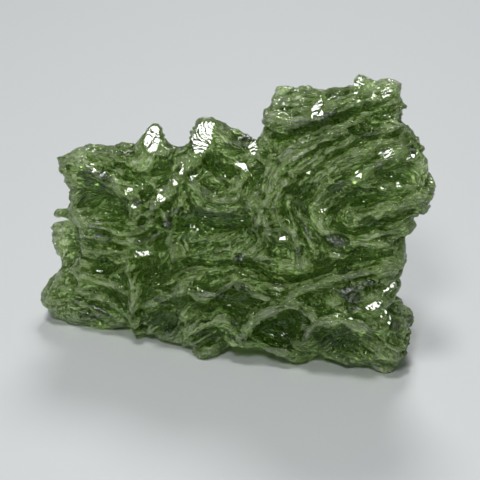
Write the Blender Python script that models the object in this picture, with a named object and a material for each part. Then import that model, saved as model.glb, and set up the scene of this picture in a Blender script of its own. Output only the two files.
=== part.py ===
"""A moldavite: one etched piece of green natural glass, standing upright on its long edge.

Lengths are millimetres until the last step, which scales the mesh to metres. X runs along the stone,
Z is up and the better face looks towards -Y. The origin is on the ground under the middle of the stone.
"""
import math
import random

import bmesh
import bpy
import numpy as np
from mathutils import Matrix, Vector

# ---- driving dimensions, in millimetres -------------------------------------------------------
MM = 0.001
COARSE_GRAIN = 0.42     # voxel size while the masses are joined
FINE_GRAIN = 0.30       # voxel size while the relief is carved
TRIANGLES = 9300        # about how many triangles the finished stone keeps
FRONT_DEPTH = 2.7       # plain depth of the front face before the swellings
BACK_DEPTH = 2.9        # plain depth of the back face before the swellings
RIM_REACH = 3.4         # how far in from the outline the faces fall away
RIM_SHARE = 0.34        # share of the depth left at the outline
FOOT_SHARE = 0.80       # the same along the foot, which stays broad
FOOT_FLAT = 0.18        # how much of each foot is worn flat

# The outline seen from the front as (x, z), counter-clockwise from the left foot.
FOOT_LINE = [
    (-17.0, 1.0), (-16.6, 0.1), (-14.6, -0.1), (-11.4, 0.1), (-8.8, 0.0), (-6.7, -0.1), (-4.9, -0.2),
    (-3.4, -0.3), (-1.7, -0.3), (-0.4, 0.3), (1.0, 0.0), (2.6, 0.6), (4.2, 0.1), (5.8, -0.1), (8.0, 0.2),
    (10.4, 0.1), (12.4, -0.1), (13.4, 0.9), (14.2, 2.0), (13.8, 3.9), (12.6, 4.9), (12.8, 6.6),
]
RIGHT_LINE = [
    (13.1, 7.2), (12.1, 7.9), (13.3, 8.9), (12.9, 10.4), (13.1, 11.6), (13.4, 12.8), (14.6, 13.6),
    (15.0, 15.4), (14.5, 17.0), (13.9, 18.6), (13.1, 19.1), (12.8, 20.6), (12.7, 21.3), (11.8, 21.7),
]
TOP_LINE = [
    (11.7, 22.8), (10.5, 23.0), (9.4, 22.7), (8.7, 23.2), (7.7, 22.4), (6.2, 21.8), (4.8, 21.8),
    (3.6, 21.3), (2.2, 21.4), (1.8, 20.6), (1.9, 18.9), (1.4, 17.3), (0.3, 17.3), (-1.1, 18.0),
    (-2.3, 18.5), (-3.1, 18.9), (-3.9, 18.0), (-4.8, 16.7), (-6.2, 16.4), (-7.0, 17.2), (-7.9, 16.9),
    (-8.7, 15.7), (-10.4, 15.8), (-12.2, 15.1), (-13.8, 15.0), (-15.0, 14.0), (-14.9, 12.2),
]
LEFT_LINE = [
    (-14.6, 10.4), (-14.5, 8.9), (-13.8, 8.0), (-13.6, 6.9), (-14.4, 5.6), (-15.3, 4.2), (-16.7, 3.0),
]
OUTLINE = FOOT_LINE + RIGHT_LINE + TOP_LINE + LEFT_LINE

# A thin wing behind the left end, at y 1.3 to 2.6.
WING = [
    (-12.0, 9.2), (-14.6, 8.6), (-16.6, 7.6), (-17.9, 6.6), (-17.0, 5.6), (-16.9, 4.3), (-15.9, 2.8),
    (-12.4, 3.2),
]

# Swellings: (x, z, reach in x, reach in z, added depth).
FRONT_SWELLS = [
    (-1.8, 3.2, 5.0, 4.6, 1.35),     # belly over the pointed foot
    (7.4, 5.2, 5.6, 3.6, 0.75),      # stacked ridges on the right
    (-12.6, 3.4, 3.8, 3.2, 0.20),    # block at the left foot
    (-10.5, 13.0, 4.2, 3.2, -0.55),  # hollow upper left
    (-0.5, 16.5, 3.2, 2.6, -0.45),   # under the notch
    (5.2, 15.5, 3.4, 4.2, 0.35),     # root of the tall part
    (12.6, 15.0, 3.0, 3.6, -0.55),   # lobe on the right
    (-6.5, 7.5, 3.2, 2.6, -0.45),    # hollow left of the waist
]
BACK_SWELLS = [
    (2.5, 5.6, 8.5, 5.0, 1.1),       # heavy lower back
    (-8.5, 5.0, 4.0, 4.0, 0.45),     # left haunch
    (6.8, 15.0, 3.6, 5.0, 0.5),      # rib up the tall part
    (-4.0, 13.0, 4.0, 3.0, -0.5),    # hollow behind the teeth
    (12.6, 13.5, 3.0, 4.0, -0.7),    # thinner right lobe
]

# Knobs joined on before the relief is carved: (x, y, z, half width in x, in y, in z).
FEET = [
    (-1.7, -3.6, 0.9, 1.5, 0.9, 1.15),      # pointed foot in front
    (-11.6, -1.6, 0.9, 2.4, 1.1, 1.0),      # left foot in front
    (12.3, -1.1, 0.9, 1.2, 1.2, 1.0),       # right foot in front
    (5.8, -2.0, 0.8, 1.5, 1.0, 0.9),        # middle foot in front
    (-6.0, 3.1, 0.9, 1.8, 1.1, 1.1),        # left foot behind
    (7.6, 3.2, 0.9, 2.0, 1.1, 1.1),         # right foot behind
]
# Knobs joined on after it, which keep their shape.
BEADS = [
    (-7.1, 0.4, 16.9, 0.85, 0.80, 1.00),    # first tooth on the top edge
    (-3.0, 0.3, 17.8, 0.95, 0.90, 1.20),    # second tooth on the top edge
    (13.1, -0.7, 12.2, 0.85, 0.80, 0.66),   # bead on the right edge
    (12.3, 1.0, 21.1, 0.80, 0.80, 0.70),    # ear at the top right corner
    (8.9, 1.9, 22.4, 0.95, 0.70, 0.90),     # crest at the back of the top
    (10.9, 1.9, 22.3, 1.30, 0.70, 0.75),    # its lower shoulder
    (5.4, 1.7, 21.2, 2.60, 0.70, 0.75),     # rim at the back of the top
    (2.9, 1.4, 21.0, 0.80, 0.80, 0.80),     # corner over the notch
]
HORN = ((-13.6, 0.4, 8.7), (-16.0, 0.4, 8.9), 0.85, 0.50)    # from, to, radius at each end

# Relief of the front face. Ridges and grooves: (half width, height or depth, line of x, z points).
FRONT_RIDGES = [
    (0.95, 0.75, [(-14.3, 14.2), (-12.9, 14.6), (-11.6, 14.0), (-9.3, 13.3), (-7.5, 12.4), (-7.9, 11.2)]),
    (0.70, 0.45, [(-13.6, 15.0), (-11.6, 15.3), (-9.3, 15.8), (-7.7, 16.4)]),
    (0.90, 0.90, [(-2.7, 17.6), (-3.5, 15.9), (-4.3, 14.6), (-5.4, 13.2), (-6.9, 11.3)]),
    (0.75, 0.80, [(-3.6, 14.7), (-2.1, 14.0), (-1.0, 13.6), (0.1, 13.9), (0.9, 15.3)]),
    (0.80, 0.55, [(-2.4, 18.3), (-1.1, 18.0), (0.2, 17.3), (2.2, 16.9)]),
    (0.80, 0.65, [(-6.1, 12.4), (-4.9, 11.1), (-4.8, 10.2), (-4.9, 9.3), (-4.2, 7.9)]),
    (0.70, 0.50, [(-3.8, 14.0), (-4.0, 12.8), (-4.8, 10.9)]),
    (0.85, 0.95, [(9.4, 20.9), (7.4, 19.7), (5.3, 18.1), (3.9, 16.3), (2.8, 14.4), (2.6, 12.9), (3.7, 11.1)]),
    (0.75, 0.75, [(7.7, 20.5), (5.3, 18.7), (3.3, 17.1), (2.3, 14.8), (1.6, 13.1), (2.0, 11.0), (0.4, 9.0)]),
    (0.75, 0.70, [(7.3, 18.6), (5.0, 16.8), (3.7, 14.5), (3.7, 12.6), (5.3, 11.6), (6.4, 9.4)]),
    (0.80, 0.60, [(12.7, 20.6), (9.6, 19.9), (7.2, 18.3), (6.0, 16.6), (5.5, 14.6)]),
    (0.80, 0.60, [(13.0, 18.9), (9.8, 18.4), (7.6, 16.5), (6.7, 14.2), (7.8, 11.8)]),
    (0.90, 0.85, [(-2.9, 5.9), (-0.9, 6.0), (0.6, 6.9), (2.4, 6.6), (4.3, 6.1)]),
    (0.95, 0.90, [(-7.0, 3.6), (-5.2, 4.8), (-3.6, 6.0), (-2.3, 7.1)]),
    (0.80, 0.85, [(-8.7, 7.6), (-8.1, 6.0), (-7.7, 4.3), (-8.1, 2.2), (-8.0, 0.7)]),
    (0.95, 1.15, [(1.3, 2.4), (2.2, 4.1), (3.6, 5.4), (5.3, 6.1), (6.6, 5.7), (7.4, 4.8)]),
    (0.90, 1.00, [(6.0, 2.9), (7.0, 4.4), (8.5, 5.1), (10.2, 5.3), (11.6, 4.5)]),
    (0.75, 0.75, [(4.7, 6.6), (6.2, 7.5), (7.8, 8.1), (10.2, 9.0), (12.9, 9.6)]),
    (0.60, 0.65, [(7.2, 7.0), (9.2, 7.9), (11.2, 8.2), (13.0, 7.6)]),
    (0.60, 0.65, [(8.4, 6.5), (10.2, 7.0), (12.9, 6.5)]),
    (0.60, 0.65, [(8.8, 6.0), (10.6, 6.2), (12.2, 5.3), (13.9, 3.9)]),
    (0.80, 0.70, [(0.2, 2.1), (2.0, 1.8), (3.6, 1.6), (5.3, 0.9)]),
    (0.75, 0.60, [(-3.3, 2.2), (-1.8, 3.4), (-0.4, 4.0), (1.3, 3.4)]),
    (0.80, 0.55, [(-13.2, 5.2), (-11.4, 5.3), (-8.8, 4.2)]),
    (0.80, 0.60, [(-14.8, 3.6), (-12.0, 4.0), (-10.2, 3.2), (-8.6, 1.9)]),
    (0.75, 0.55, [(-15.8, 2.2), (-12.4, 2.8), (-9.8, 1.7)]),
    (0.80, 0.60, [(-12.8, 10.4), (-10.5, 9.9), (-8.6, 9.5), (-6.6, 10.4), (-6.0, 11.8)]),
    (0.80, 0.55, [(-13.2, 8.4), (-10.1, 8.9), (-7.0, 9.4), (-5.4, 10.4)]),
    (0.75, 0.50, [(-13.4, 7.0), (-10.9, 7.7), (-8.3, 8.0)]),
    (0.85, 0.70, [(8.7, 16.0), (10.4, 17.1), (12.0, 18.3), (14.0, 18.6)]),
    (0.75, 0.60, [(8.9, 12.6), (10.9, 13.6), (12.9, 14.6), (14.8, 15.2)]),
    (0.70, 0.65, [(2.4, 19.8), (4.6, 20.0), (6.6, 20.6), (8.2, 21.3), (10.2, 21.8), (11.8, 22.1)]),
]
FRONT_GROOVES = [
    (0.75, 1.10, [(-4.6, 7.4), (-2.3, 7.9), (0.6, 8.7), (2.6, 8.2), (4.4, 7.6), (6.4, 8.3), (8.4, 9.6), (11.4, 10.6)]),
    (0.70, 0.80, [(-3.0, 7.0), (-0.6, 7.5), (1.8, 7.6), (3.8, 7.1)]),
    (0.65, 0.90, [(9.6, 12.6), (11.6, 13.1), (13.8, 13.9)]),
    (0.65, 1.00, [(2.6, 19.0), (4.6, 19.1), (6.2, 19.7), (7.8, 20.6), (10.0, 21.2), (12.0, 21.2)]),
    (0.60, 0.80, [(8.3, 14.2), (8.1, 13.2), (8.9, 12.3), (10.4, 12.0)]),
    (0.55, 0.60, [(-3.0, 12.8), (-1.0, 12.6), (1.2, 12.6)]),
]
# Cups: (x, z, half width, half height, turn in degrees, depth).
FRONT_CUPS = [
    (-11.8, 12.2, 2.3, 2.1, 0, 1.25),
    (-8.9, 14.5, 2.3, 0.9, -18, 0.75),
    (-8.3, 15.8, 1.0, 0.6, 0, 0.55),
    (-5.6, 15.2, 1.2, 1.0, 30, 0.95),
    (-1.1, 15.6, 1.9, 1.6, 0, 1.25),
    (-1.3, 11.7, 3.4, 1.3, 4, 1.00),
    (-5.6, 8.6, 1.6, 1.0, 0, 0.60),
    (-1.5, 9.4, 3.0, 1.0, 6, 0.55),
    (5.6, 15.2, 1.0, 0.8, 0, 0.80),
    (4.6, 13.4, 0.6, 1.2, 20, 0.60),
    (12.6, 17.0, 2.2, 1.3, 8, 0.80),
    (9.9, 14.8, 2.2, 1.2, 12, 0.70),
    (-9.6, 11.2, 1.6, 0.9, -10, 0.70),
    (-11.4, 6.4, 2.0, 0.9, 0, 0.65),
    (-5.9, 6.6, 2.0, 1.2, 12, 1.10),
    (-5.0, 2.9, 1.6, 1.4, 30, 0.95),
    (-1.0, 5.0, 2.0, 0.9, 6, 0.95),
    (-1.4, 2.2, 2.0, 1.1, 0, 0.80),
    (4.0, 3.7, 2.3, 1.7, 20, 1.55),
    (9.4, 3.0, 3.0, 1.8, 0, 1.35),
    (7.0, 6.6, 1.4, 0.8, 15, 0.75),
    (4.0, 9.8, 1.3, 1.0, 0, 0.70),
    (-13.8, 3.3, 1.5, 1.2, 0, 0.80),
    (9.9, 20.3, 1.8, 0.8, 20, 0.60),
    (5.0, 21.0, 2.4, 0.6, 6, 0.45),
    (9.8, 22.0, 1.8, 0.5, 0, 0.40),
]
# Relief of the back face, in the same terms.
BACK_RIDGES = [
    (0.95, 0.95, [(-13.6, 12.6), (-10.2, 12.0), (-7.0, 10.0), (-3.0, 9.2), (1.2, 10.2), (4.6, 12.8), (6.4, 16.4), (8.6, 19.8)]),
    (0.85, 0.85, [(-12.4, 10.2), (-9.0, 9.2), (-5.6, 7.4), (-1.0, 7.2), (3.2, 8.8), (6.6, 11.6), (9.0, 15.4), (10.8, 19.0)]),
    (0.80, 0.75, [(-7.6, 15.4), (-5.0, 13.6), (-1.4, 12.6), (2.0, 13.6), (4.2, 16.6), (5.2, 20.2)]),
    (0.80, 0.80, [(-4.4, 4.8), (0.6, 4.6), (4.8, 6.2), (8.8, 9.2), (12.4, 12.2)]),
    (0.75, 0.70, [(2.2, 2.4), (6.4, 3.8), (10.0, 6.2), (12.4, 8.4)]),
    (0.80, 0.80, [(-14.4, 3.2), (-11.0, 4.6), (-7.8, 4.2), (-5.6, 2.0)]),
    (0.75, 0.60, [(-9.4, 7.0), (-7.6, 5.6), (-4.8, 5.8)]),
    (0.70, 0.55, [(9.6, 2.2), (11.4, 3.4), (13.2, 3.2)]),
    (0.75, 0.60, [(12.4, 18.6), (12.0, 16.2), (13.6, 14.4)]),
]
BACK_GROOVES = [
    (0.75, 0.90, [(-13.0, 11.4), (-9.4, 10.6), (-6.0, 8.6), (-1.6, 8.2), (2.4, 9.6), (5.6, 12.4), (7.6, 16.0), (9.6, 19.4)]),
    (0.65, 0.70, [(-3.0, 3.4), (1.8, 3.4), (5.8, 5.0), (9.6, 7.8)]),
]
BACK_CUPS = [
    (-11.4, 13.6, 2.4, 1.2, -6, 0.70),
    (-4.4, 15.6, 2.0, 1.6, 0, 0.95),
    (-3.2, 11.0, 2.6, 1.2, 0, 0.95),
    (1.6, 15.6, 1.8, 1.8, 20, 0.85),
    (3.2, 19.6, 1.4, 1.6, 0, 0.70),
    (8.0, 21.2, 2.2, 1.0, 10, 0.60),
    (12.2, 20.0, 1.2, 1.4, 0, 0.50),
    (11.0, 11.6, 2.2, 1.2, 40, 0.85),
    (3.8, 11.0, 1.4, 1.0, 30, 0.55),
    (-1.4, 5.9, 2.2, 0.9, 0, 0.70),
    (5.0, 1.8, 2.2, 1.2, 0, 0.85),
    (-1.0, 1.8, 2.6, 1.4, 0, 1.10),
    (-10.6, 2.2, 2.0, 1.2, 0, 0.90),
    (-11.6, 7.6, 1.8, 1.4, 0, 0.80),
    (11.6, 5.4, 1.6, 1.0, 30, 0.70),
    (8.2, 7.0, 1.4, 0.8, 40, 0.50),
]
# Hollows under the stone: (x, y, half width, half depth, height).
UNDER_HOLLOWS = [
    (-2.6, 0.2, 3.0, 2.2, 1.0),
    (-6.4, 0.2, 3.4, 1.9, 0.9),
    (-13.0, 1.0, 2.4, 1.8, 0.7),
    (2.2, 0.4, 3.0, 2.4, 0.9),
    (9.4, 0.6, 2.6, 2.0, 0.8),
]
CUP_SEED = 41
LOOSE_CUPS = 150        # smaller cups scattered over both faces
BITES = 64              # nicks around the outline
UNDER_CUPS = 34         # small cups scattered under the foot

def clear_scene():
    for thing in list(bpy.data.objects):
        bpy.data.objects.remove(thing, do_unlink=True)


def new_object(name, mesh_builder):
    mesh = bpy.data.meshes.new(name)
    mesh_builder.to_mesh(mesh)
    mesh_builder.free()
    thing = bpy.data.objects.new(name, mesh)
    bpy.context.scene.collection.objects.link(thing)
    return thing


def slab(name, loop, front, back):
    """A plate with the given outline, from y = front to y = back."""
    builder = bmesh.new()
    ring = [builder.verts.new((x, front, z)) for x, z in loop]
    face = builder.faces.new(ring)
    pushed = bmesh.ops.extrude_face_region(builder, geom=[face])
    moved = [part for part in pushed["geom"] if isinstance(part, bmesh.types.BMVert)]
    bmesh.ops.translate(builder, verts=moved, vec=(0, back - front, 0))
    bmesh.ops.recalc_face_normals(builder, faces=builder.faces)
    return new_object(name, builder)


def knob(name, x, y, z, wide, deep, high):
    builder = bmesh.new()
    bmesh.ops.create_icosphere(builder, subdivisions=3, radius=1.0)
    bmesh.ops.scale(builder, vec=(wide, deep, high), verts=builder.verts)
    bmesh.ops.translate(builder, vec=(x, y, z), verts=builder.verts)
    return new_object(name, builder)


def horn(name, start, end, thick, thin):
    builder = bmesh.new()
    along = Vector(end) - Vector(start)
    turn = along.to_track_quat("Z", "Y").to_matrix().to_4x4()
    place = Matrix.Translation((Vector(start) + Vector(end)) / 2) @ turn
    bmesh.ops.create_cone(
        builder, cap_ends=True, segments=24, radius1=thick, radius2=thin, depth=along.length, matrix=place
    )
    return new_object(name, builder)


def join(things, name):
    bpy.ops.object.select_all(action="DESELECT")
    for thing in things:
        thing.select_set(True)
    bpy.context.view_layer.objects.active = things[0]
    if len(things) > 1:
        bpy.ops.object.join()
    things[0].name = name
    return things[0]


def remesh(thing, grain):
    """Fuses everything in the object into one closed skin of even small faces."""
    bpy.context.view_layer.objects.active = thing
    change = thing.modifiers.new("Fuse", "REMESH")
    change.mode = "VOXEL"
    change.voxel_size = grain
    bpy.ops.object.modifier_apply(modifier=change.name)


def points_of(thing):
    mesh = thing.data
    where = np.empty(len(mesh.vertices) * 3)
    mesh.vertices.foreach_get("co", where)
    facing = np.empty(len(mesh.vertices) * 3)
    mesh.vertices.foreach_get("normal", facing)
    return where.reshape(-1, 3), facing.reshape(-1, 3)


def put_points(thing, where):
    thing.data.vertices.foreach_set("co", where.ravel())
    thing.data.update()


def soften(thing, share, times):
    """Moves each point towards the mean of its neighbours."""
    mesh = thing.data
    where, _ = points_of(thing)
    ends = np.empty(len(mesh.edges) * 2, np.int64)
    mesh.edges.foreach_get("vertices", ends)
    ends = ends.reshape(-1, 2)
    count = np.bincount(ends.ravel(), minlength=len(where))[:, None]
    for _ in range(times):
        total = np.zeros_like(where)
        np.add.at(total, ends[:, 0], where[ends[:, 1]])
        np.add.at(total, ends[:, 1], where[ends[:, 0]])
        where += share * (total / count - where)
    put_points(thing, where)


def to_line(spots, path, closed=False):
    """Distance from each spot to a line through the given points."""
    nearest = np.full(len(spots), 1e9)
    stops = list(path) + ([path[0]] if closed else [])
    for start, end in zip(stops[:-1], stops[1:]):
        start, end = np.array(start), np.array(end)
        along = end - start
        share = np.clip((spots - start) @ along / max(along @ along, 1e-9), 0, 1)
        gap = np.linalg.norm(spots - start - share[:, None] * along, axis=1)
        nearest = np.minimum(nearest, gap)
    return nearest


def swell(spots, swells):
    total = np.zeros(len(spots))
    for x, z, wide, high, depth in swells:
        total += depth * np.exp(-(((spots[:, 0] - x) / wide) ** 2) - ((spots[:, 1] - z) / high) ** 2)
    return total


def step(value, start, end):
    share = np.clip((value - start) / (end - start), 0, 1)
    return share * share * (3 - 2 * share)


def front_depth(spots):
    """How far the front face stands towards -Y."""
    x, z = spots[:, 0], spots[:, 1]
    depth = FRONT_DEPTH + swell(spots, FRONT_SWELLS)
    depth -= 0.75 * step(z, 8.0, 19.0)                                    # the face leans back
    depth -= 2.6 * step(z, 19.6, 23.4) * step(x, 0.0, 3.0)                # the top slopes up and back
    return depth


def back_depth(spots):
    """How far the back face stands towards +Y."""
    z = spots[:, 1]
    return BACK_DEPTH + swell(spots, BACK_SWELLS) - 0.25 * step(z, 17.0, 23.0)


def inflate(thing):
    """Turns the flat plate into a body that thins towards its outline."""
    where, _ = points_of(thing)
    spots = where[:, [0, 2]]
    inward = to_line(spots, OUTLINE, closed=True)
    rim = RIM_SHARE + (FOOT_SHARE - RIM_SHARE) * (1 - step(spots[:, 1], 1.5, 6.0))
    rise = np.sqrt(1 - (1 - np.clip(inward / RIM_REACH, 0, 1)) ** 2)
    share = rim + (1 - rim) * rise
    front, back = front_depth(spots), back_depth(spots)
    middle = (back - front) / 2
    half = (back + front) / 2 * share
    where[:, 1] = middle + np.clip(where[:, 1], -1, 1) * half
    put_points(thing, where)


def rough_stone():
    body = slab("moldavite", OUTLINE, -1.0, 1.0)
    remesh(body, COARSE_GRAIN)
    inflate(body)
    wing = slab("Wing", WING, 1.3, 2.6)
    feet = [knob("Foot", *place) for place in FEET]
    body = join([body, wing] + feet, "moldavite")
    remesh(body, COARSE_GRAIN)
    soften(body, 0.5, 2)
    return body



def ridge_heights(spots, ridges):
    total = np.zeros(len(spots))
    for wide, high, path in ridges:
        away = np.clip(to_line(spots, path) / wide, 0, 1)
        total = np.maximum(total, high * (1 - away) ** 1.25)
    return total


def cup_depths(spots, cups):
    """Where cups overlap only the deeper one counts, which leaves a sharp edge between them."""
    total = np.zeros(len(spots))
    for x, z, wide, high, turn, depth in cups:
        across, up = spots[:, 0] - x, spots[:, 1] - z
        turn = math.radians(turn)
        along = (across * math.cos(turn) + up * math.sin(turn)) / wide
        beside = (up * math.cos(turn) - across * math.sin(turn)) / high
        total = np.maximum(total, depth * np.clip(1 - along**2 - beside**2, 0, 1) ** 0.8)
    return total


def loose_cups(chance, count):
    cups = []
    for _ in range(count):
        wide = chance.uniform(0.9, 1.7)
        cups.append((
            chance.uniform(-17, 15), chance.uniform(0, 23), wide, wide * chance.uniform(0.45, 0.8),
            chance.uniform(-30, 50), wide * chance.uniform(0.18, 0.30),
        ))
    return cups


def carve_faces(thing):
    chance = random.Random(CUP_SEED)
    front_cups = FRONT_CUPS + loose_cups(chance, LOOSE_CUPS // 2)
    back_cups = BACK_CUPS + loose_cups(chance, LOOSE_CUPS // 2)
    where, facing = points_of(thing)
    spots = where[:, [0, 2]]
    front = ridge_heights(spots, FRONT_RIDGES) - cup_depths(spots, front_cups)
    front -= ridge_heights(spots, FRONT_GROOVES)
    back = ridge_heights(spots, BACK_RIDGES) - cup_depths(spots, back_cups)
    back -= ridge_heights(spots, BACK_GROOVES)
    raised = front * step(-facing[:, 1], -0.30, 0.30) + back * step(facing[:, 1], -0.30, 0.30)
    where += raised[:, None] * facing
    put_points(thing, where)


def carve_edges(thing):
    """Nicks around the outline and hollows under the foot."""
    chance = random.Random(CUP_SEED + 1)
    where, facing = points_of(thing)
    inward = np.zeros(len(where))
    loop = OUTLINE + OUTLINE[:1]
    for _ in range(BITES):
        start = chance.randrange(len(loop) - 1)
        share = chance.random()
        x = loop[start][0] + share * (loop[start + 1][0] - loop[start][0])
        z = loop[start][1] + share * (loop[start + 1][1] - loop[start][1])
        centre = np.array([x, chance.uniform(-2.2, 2.6), z])
        reach = chance.uniform(0.8, 1.3)
        away = np.linalg.norm(where - centre, axis=1) / reach
        inward = np.maximum(inward, reach * 0.34 * np.clip(1 - away**2, 0, 1))
    where -= inward[:, None] * facing
    lift = np.zeros(len(where))
    small = [
        (chance.uniform(-16, 14), chance.uniform(-3.5, 3.5), reach, reach * chance.uniform(0.5, 0.9), reach * 0.3)
        for reach in (chance.uniform(0.9, 2.0) for _ in range(UNDER_CUPS))
    ]
    for x, y, wide, deep, high in UNDER_HOLLOWS + small:
        away = ((where[:, 0] - x) / wide) ** 2 + ((where[:, 1] - y) / deep) ** 2
        lift = np.maximum(lift, high * np.clip(1 - away, 0, 1))
    clear = np.full(len(where), 9.0)
    for x, y, *_ in FEET:
        clear = np.minimum(clear, np.hypot(where[:, 0] - x, where[:, 1] - y))
    where[:, 2] += lift * step(clear, 0.5, 2.0) * step(-facing[:, 2], 0.1, 0.6)
    put_points(thing, where)


def thin_out(thing, triangles):
    """Keeps the shape with fewer, larger faces."""
    bpy.context.view_layer.objects.active = thing
    split = thing.modifiers.new("Split", "TRIANGULATE")
    bpy.ops.object.modifier_apply(modifier=split.name)
    change = thing.modifiers.new("Thin", "DECIMATE")
    change.ratio = triangles / len(thing.data.polygons)
    bpy.ops.object.modifier_apply(modifier=change.name)


def flatten_feet(thing):
    """Cuts the lowest points level, then puts the ground at zero and the middle of the stone over the origin."""
    where, _ = points_of(thing)
    low = where[:, 2].min() + FOOT_FLAT
    builder = bmesh.new()
    builder.from_mesh(thing.data)
    parts = builder.verts[:] + builder.edges[:] + builder.faces[:]
    cut = bmesh.ops.bisect_plane(
        builder, geom=parts, dist=1e-5, plane_co=(0, 0, low), plane_no=(0, 0, -1), clear_outer=True
    )
    rim = [part for part in cut["geom_cut"] if isinstance(part, bmesh.types.BMEdge)]
    bmesh.ops.holes_fill(builder, edges=rim, sides=0)
    bmesh.ops.triangulate(builder, faces=builder.faces[:])
    bmesh.ops.recalc_face_normals(builder, faces=builder.faces[:])
    builder.to_mesh(thing.data)
    builder.free()
    where, _ = points_of(thing)
    middle = (where.min(0) + where.max(0)) / 2
    where -= np.array([middle[0], middle[1], low])
    put_points(thing, where)


def green_glass():
    glass = bpy.data.materials.new("Moldavite glass")
    glass.use_nodes = True
    shader = glass.node_tree.nodes["Principled BSDF"]
    shader.inputs["Base Color"].default_value = (0.16, 0.27, 0.06, 1)
    shader.inputs["Roughness"].default_value = 0.12
    shader.inputs["IOR"].default_value = 1.49
    shader.inputs["Transmission Weight"].default_value = 1.0
    glass.diffuse_color = (0.16, 0.27, 0.06, 1)
    return glass


clear_scene()
stone = rough_stone()
carve_faces(stone)
beads = [knob("Bead", *place) for place in BEADS]
stone = join([stone, horn("Horn", *HORN)] + beads, "moldavite")
remesh(stone, FINE_GRAIN)
carve_edges(stone)
remesh(stone, FINE_GRAIN)
thin_out(stone, TRIANGLES)
flatten_feet(stone)
stone.data.transform(Matrix.Scale(MM, 4))
stone.data.shade_flat()
stone.data.materials.append(green_glass())
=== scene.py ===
"""The looks of a moldavite: etched green natural glass standing on its long edge, in a plain pale studio.

Shapes are worked in millimetres and put back to metres at the end. X runs along the stone, the front face
looks towards -Y and Z is up.
"""
import math

import bmesh
import bpy
import numpy as np
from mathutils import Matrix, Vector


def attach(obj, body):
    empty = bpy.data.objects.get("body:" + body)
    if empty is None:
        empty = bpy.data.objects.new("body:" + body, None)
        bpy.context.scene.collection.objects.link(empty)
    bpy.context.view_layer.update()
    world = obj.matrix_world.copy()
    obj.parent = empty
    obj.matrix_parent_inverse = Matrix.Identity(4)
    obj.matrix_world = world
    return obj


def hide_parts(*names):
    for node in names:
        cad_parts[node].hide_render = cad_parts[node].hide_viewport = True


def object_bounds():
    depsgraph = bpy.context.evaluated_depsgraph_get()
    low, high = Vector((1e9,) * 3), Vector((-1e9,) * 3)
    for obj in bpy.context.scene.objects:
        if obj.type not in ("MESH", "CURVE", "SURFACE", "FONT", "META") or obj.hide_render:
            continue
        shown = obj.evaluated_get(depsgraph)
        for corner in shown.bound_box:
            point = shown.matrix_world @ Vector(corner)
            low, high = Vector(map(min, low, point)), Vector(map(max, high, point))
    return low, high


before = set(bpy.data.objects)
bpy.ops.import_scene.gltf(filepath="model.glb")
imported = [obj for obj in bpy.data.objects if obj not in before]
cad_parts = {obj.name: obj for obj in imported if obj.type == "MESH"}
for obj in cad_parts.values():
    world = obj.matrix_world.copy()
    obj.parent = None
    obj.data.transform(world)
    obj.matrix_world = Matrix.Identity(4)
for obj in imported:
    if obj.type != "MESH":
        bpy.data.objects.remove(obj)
solid_low, solid_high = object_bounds()

MM = 0.001

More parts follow.
